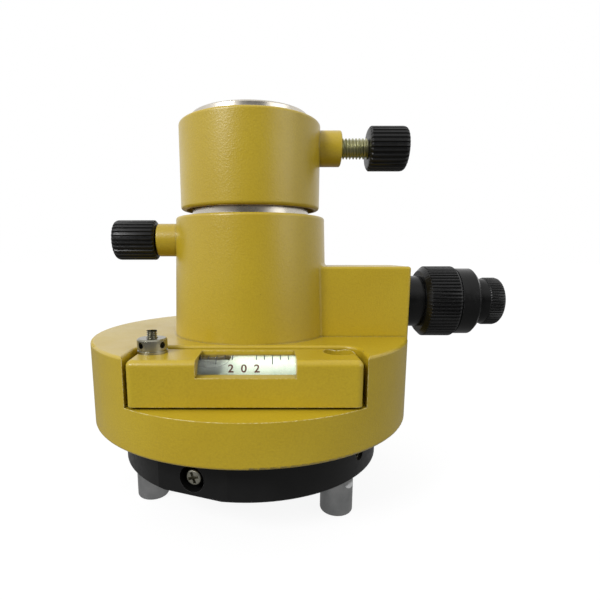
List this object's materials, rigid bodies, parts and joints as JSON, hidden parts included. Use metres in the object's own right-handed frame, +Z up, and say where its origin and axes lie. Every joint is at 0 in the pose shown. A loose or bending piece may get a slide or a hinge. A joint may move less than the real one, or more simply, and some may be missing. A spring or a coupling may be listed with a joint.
{
  "type": "rotating tribrach adapter",
  "caption": "Rotating tribrach adapter: yellow housing with tubular level and optical plummet, turning top socket with clamp screws, black base with locking feet.",
  "frame": {"origin": "on the vertical axis of rotation, in the plane of the base plate's underside, at the centre of the foot circle", "axes": "+Z up along the vertical axis, +X towards the plummet's eyepiece, -Y towards the level"},
  "size_m": [0.1256, 0.096, 0.1132],
  "materials": {
    "yellow_paint": "textured satin powder coat",
    "black_anodised": "black anodised satin",
    "black_plastic": "satin",
    "silver_metal": "turned",
    "feet_steel": "satin",
    "screw_steel": "machined",
    "zinc_steel": "zinc plated",
    "bronze": "machined",
    "brass": "machined",
    "optical_glass": "polished",
    "vial_glass": "polished",
    "spirit": "clear",
    "white_plastic": "satin"
  },
  "bodies": {
    "base": {"base_plate": "black_anodised", "feet": "feet_steel", "foot_grub_screws": "screw_steel", "base_lock_screw": "screw_steel", "lower_axis": "screw_steel", "axis_screws": "screw_steel", "thrust_washer": "bronze", "axis_nut": "screw_steel"},
    "housing": {"housing": "yellow_paint", "lower_bush": "bronze", "upper_bush": "bronze", "level_stud": "screw_steel", "level_spring": "screw_steel", "pivot_screw": "screw_steel", "pivot_washer": "screw_steel", "plummet_barrel": "black_anodised", "objective_lens": "optical_glass", "objective_ring": "black_anodised", "reticle_housing": "black_anodised", "reticle_cell": "brass", "reticle_glass": "optical_glass", "reticle_screws": "screw_steel", "reticle_cover": "black_anodised", "eyepiece_barrel": "black_anodised", "plummet_prism": "optical_glass", "prism_mount": "black_anodised", "prism_mount_screws": "screw_steel", "prism_clip": "screw_steel", "prism_clip_screws": "screw_steel"},
    "top": {"top_spindle": "silver_metal", "collar": "yellow_paint", "collar_grub_screws": "screw_steel", "spindle_circlip": "screw_steel"},
    "upper_pad": {"upper_clamp_pad": "brass"},
    "upper_screw": {"upper_clamp_screw": "zinc_steel", "upper_clamp_knob": "black_plastic"},
    "lower_pad": {"lower_clamp_pad": "brass"},
    "lower_screw": {"lower_clamp_screw": "zinc_steel", "lower_clamp_knob": "black_plastic"},
    "level": {"level_holder": "yellow_paint", "vial": "vial_glass", "vial_liquid": "spirit", "vial_cradles": "white_plastic"},
    "capstan": {"capstan_nut": "screw_steel"},
    "focusing_ring": {"focusing_ring": "black_anodised"},
    "focusing_cell": {"focusing_cell": "brass", "focusing_pin": "screw_steel", "focusing_lens": "optical_glass"},
    "eyepiece_tube": {"eyepiece_tube": "black_anodised", "field_lens": "optical_glass", "eye_lens": "optical_glass"},
    "eyepiece_knob": {"eyepiece_knob": "black_anodised"}
  },
  "joints": [
    {"name": "housing_turn", "type": "hinge", "parent": "base", "child": "housing", "pos_m": [0, 0, 0.026], "axis": [0, 0, 1], "continuous": true},
    {"name": "top_turn", "type": "hinge", "parent": "housing", "child": "top", "pos_m": [0, 0, 0.065], "axis": [0, 0, 1], "continuous": true},
    {"name": "upper_clamp_travel", "type": "slide", "parent": "top", "child": "upper_pad", "axis": [1, 0, 0], "range_m": [-0.0078, 0.003]},
    {"name": "upper_clamp_turn", "type": "hinge", "parent": "upper_pad", "child": "upper_screw", "pos_m": [0.0409, 0, 0.0919], "axis": [1, 0, 0], "range_deg": [-2809, 1081]},
    {"name": "lower_clamp_travel", "type": "slide", "parent": "housing", "child": "lower_pad", "axis": [-1, 0, 0], "range_m": [0, 0.005]},
    {"name": "lower_clamp_turn", "type": "hinge", "parent": "lower_pad", "child": "lower_screw", "pos_m": [-0.035, 0, 0.0652], "axis": [-1, 0, 0], "range_deg": [0, 1801]},
    {"name": "focusing_ring_turn", "type": "hinge", "parent": "housing", "child": "focusing_ring", "pos_m": [0.0583, 0, 0.04635], "axis": [1, 0, 0], "range_deg": [-150.5, 150.5]},
    {"name": "focusing_cell_travel", "type": "slide", "parent": "housing", "child": "focusing_cell", "axis": [1, 0, 0], "range_m": [-0.0024, 0.0024]},
    {"name": "eyepiece_travel", "type": "slide", "parent": "housing", "child": "eyepiece_tube", "axis": [1, 0, 0], "range_m": [-0.0005, 0.0005]},
    {"name": "eyepiece_turn", "type": "hinge", "parent": "eyepiece_tube", "child": "eyepiece_knob", "pos_m": [0.075, 0, 0.04635], "axis": [1, 0, 0], "range_deg": [-180.5, 180.5]},
    {"name": "level_tilt", "type": "hinge", "parent": "housing", "child": "level", "pos_m": [0.0236, -0.031, 0.0267], "axis": [0, 1, 0], "range_deg": [-0.4, 0.4], "deforming": ["level_spring"]},
    {"name": "capstan_turn", "type": "hinge", "parent": "level", "child": "capstan", "pos_m": [-0.024, -0.0293, 0.038], "axis": [0, 0, 1], "range_deg": [-240, 240]}
  ],
  "couplings": [
    {"joint": "upper_clamp_turn", "follows": "upper_clamp_travel", "rad_per_m": 6283.2},
    {"joint": "lower_clamp_turn", "follows": "lower_clamp_travel", "rad_per_m": 6283.2},
    {"joint": "focusing_ring_turn", "follows": "focusing_cell_travel", "rad_per_m": 1090.8},
    {"joint": "eyepiece_turn", "follows": "eyepiece_travel", "rad_per_m": 6283.2},
    {"joint": "capstan_turn", "follows": "level_tilt", "ratio": 598.16}
  ]
}
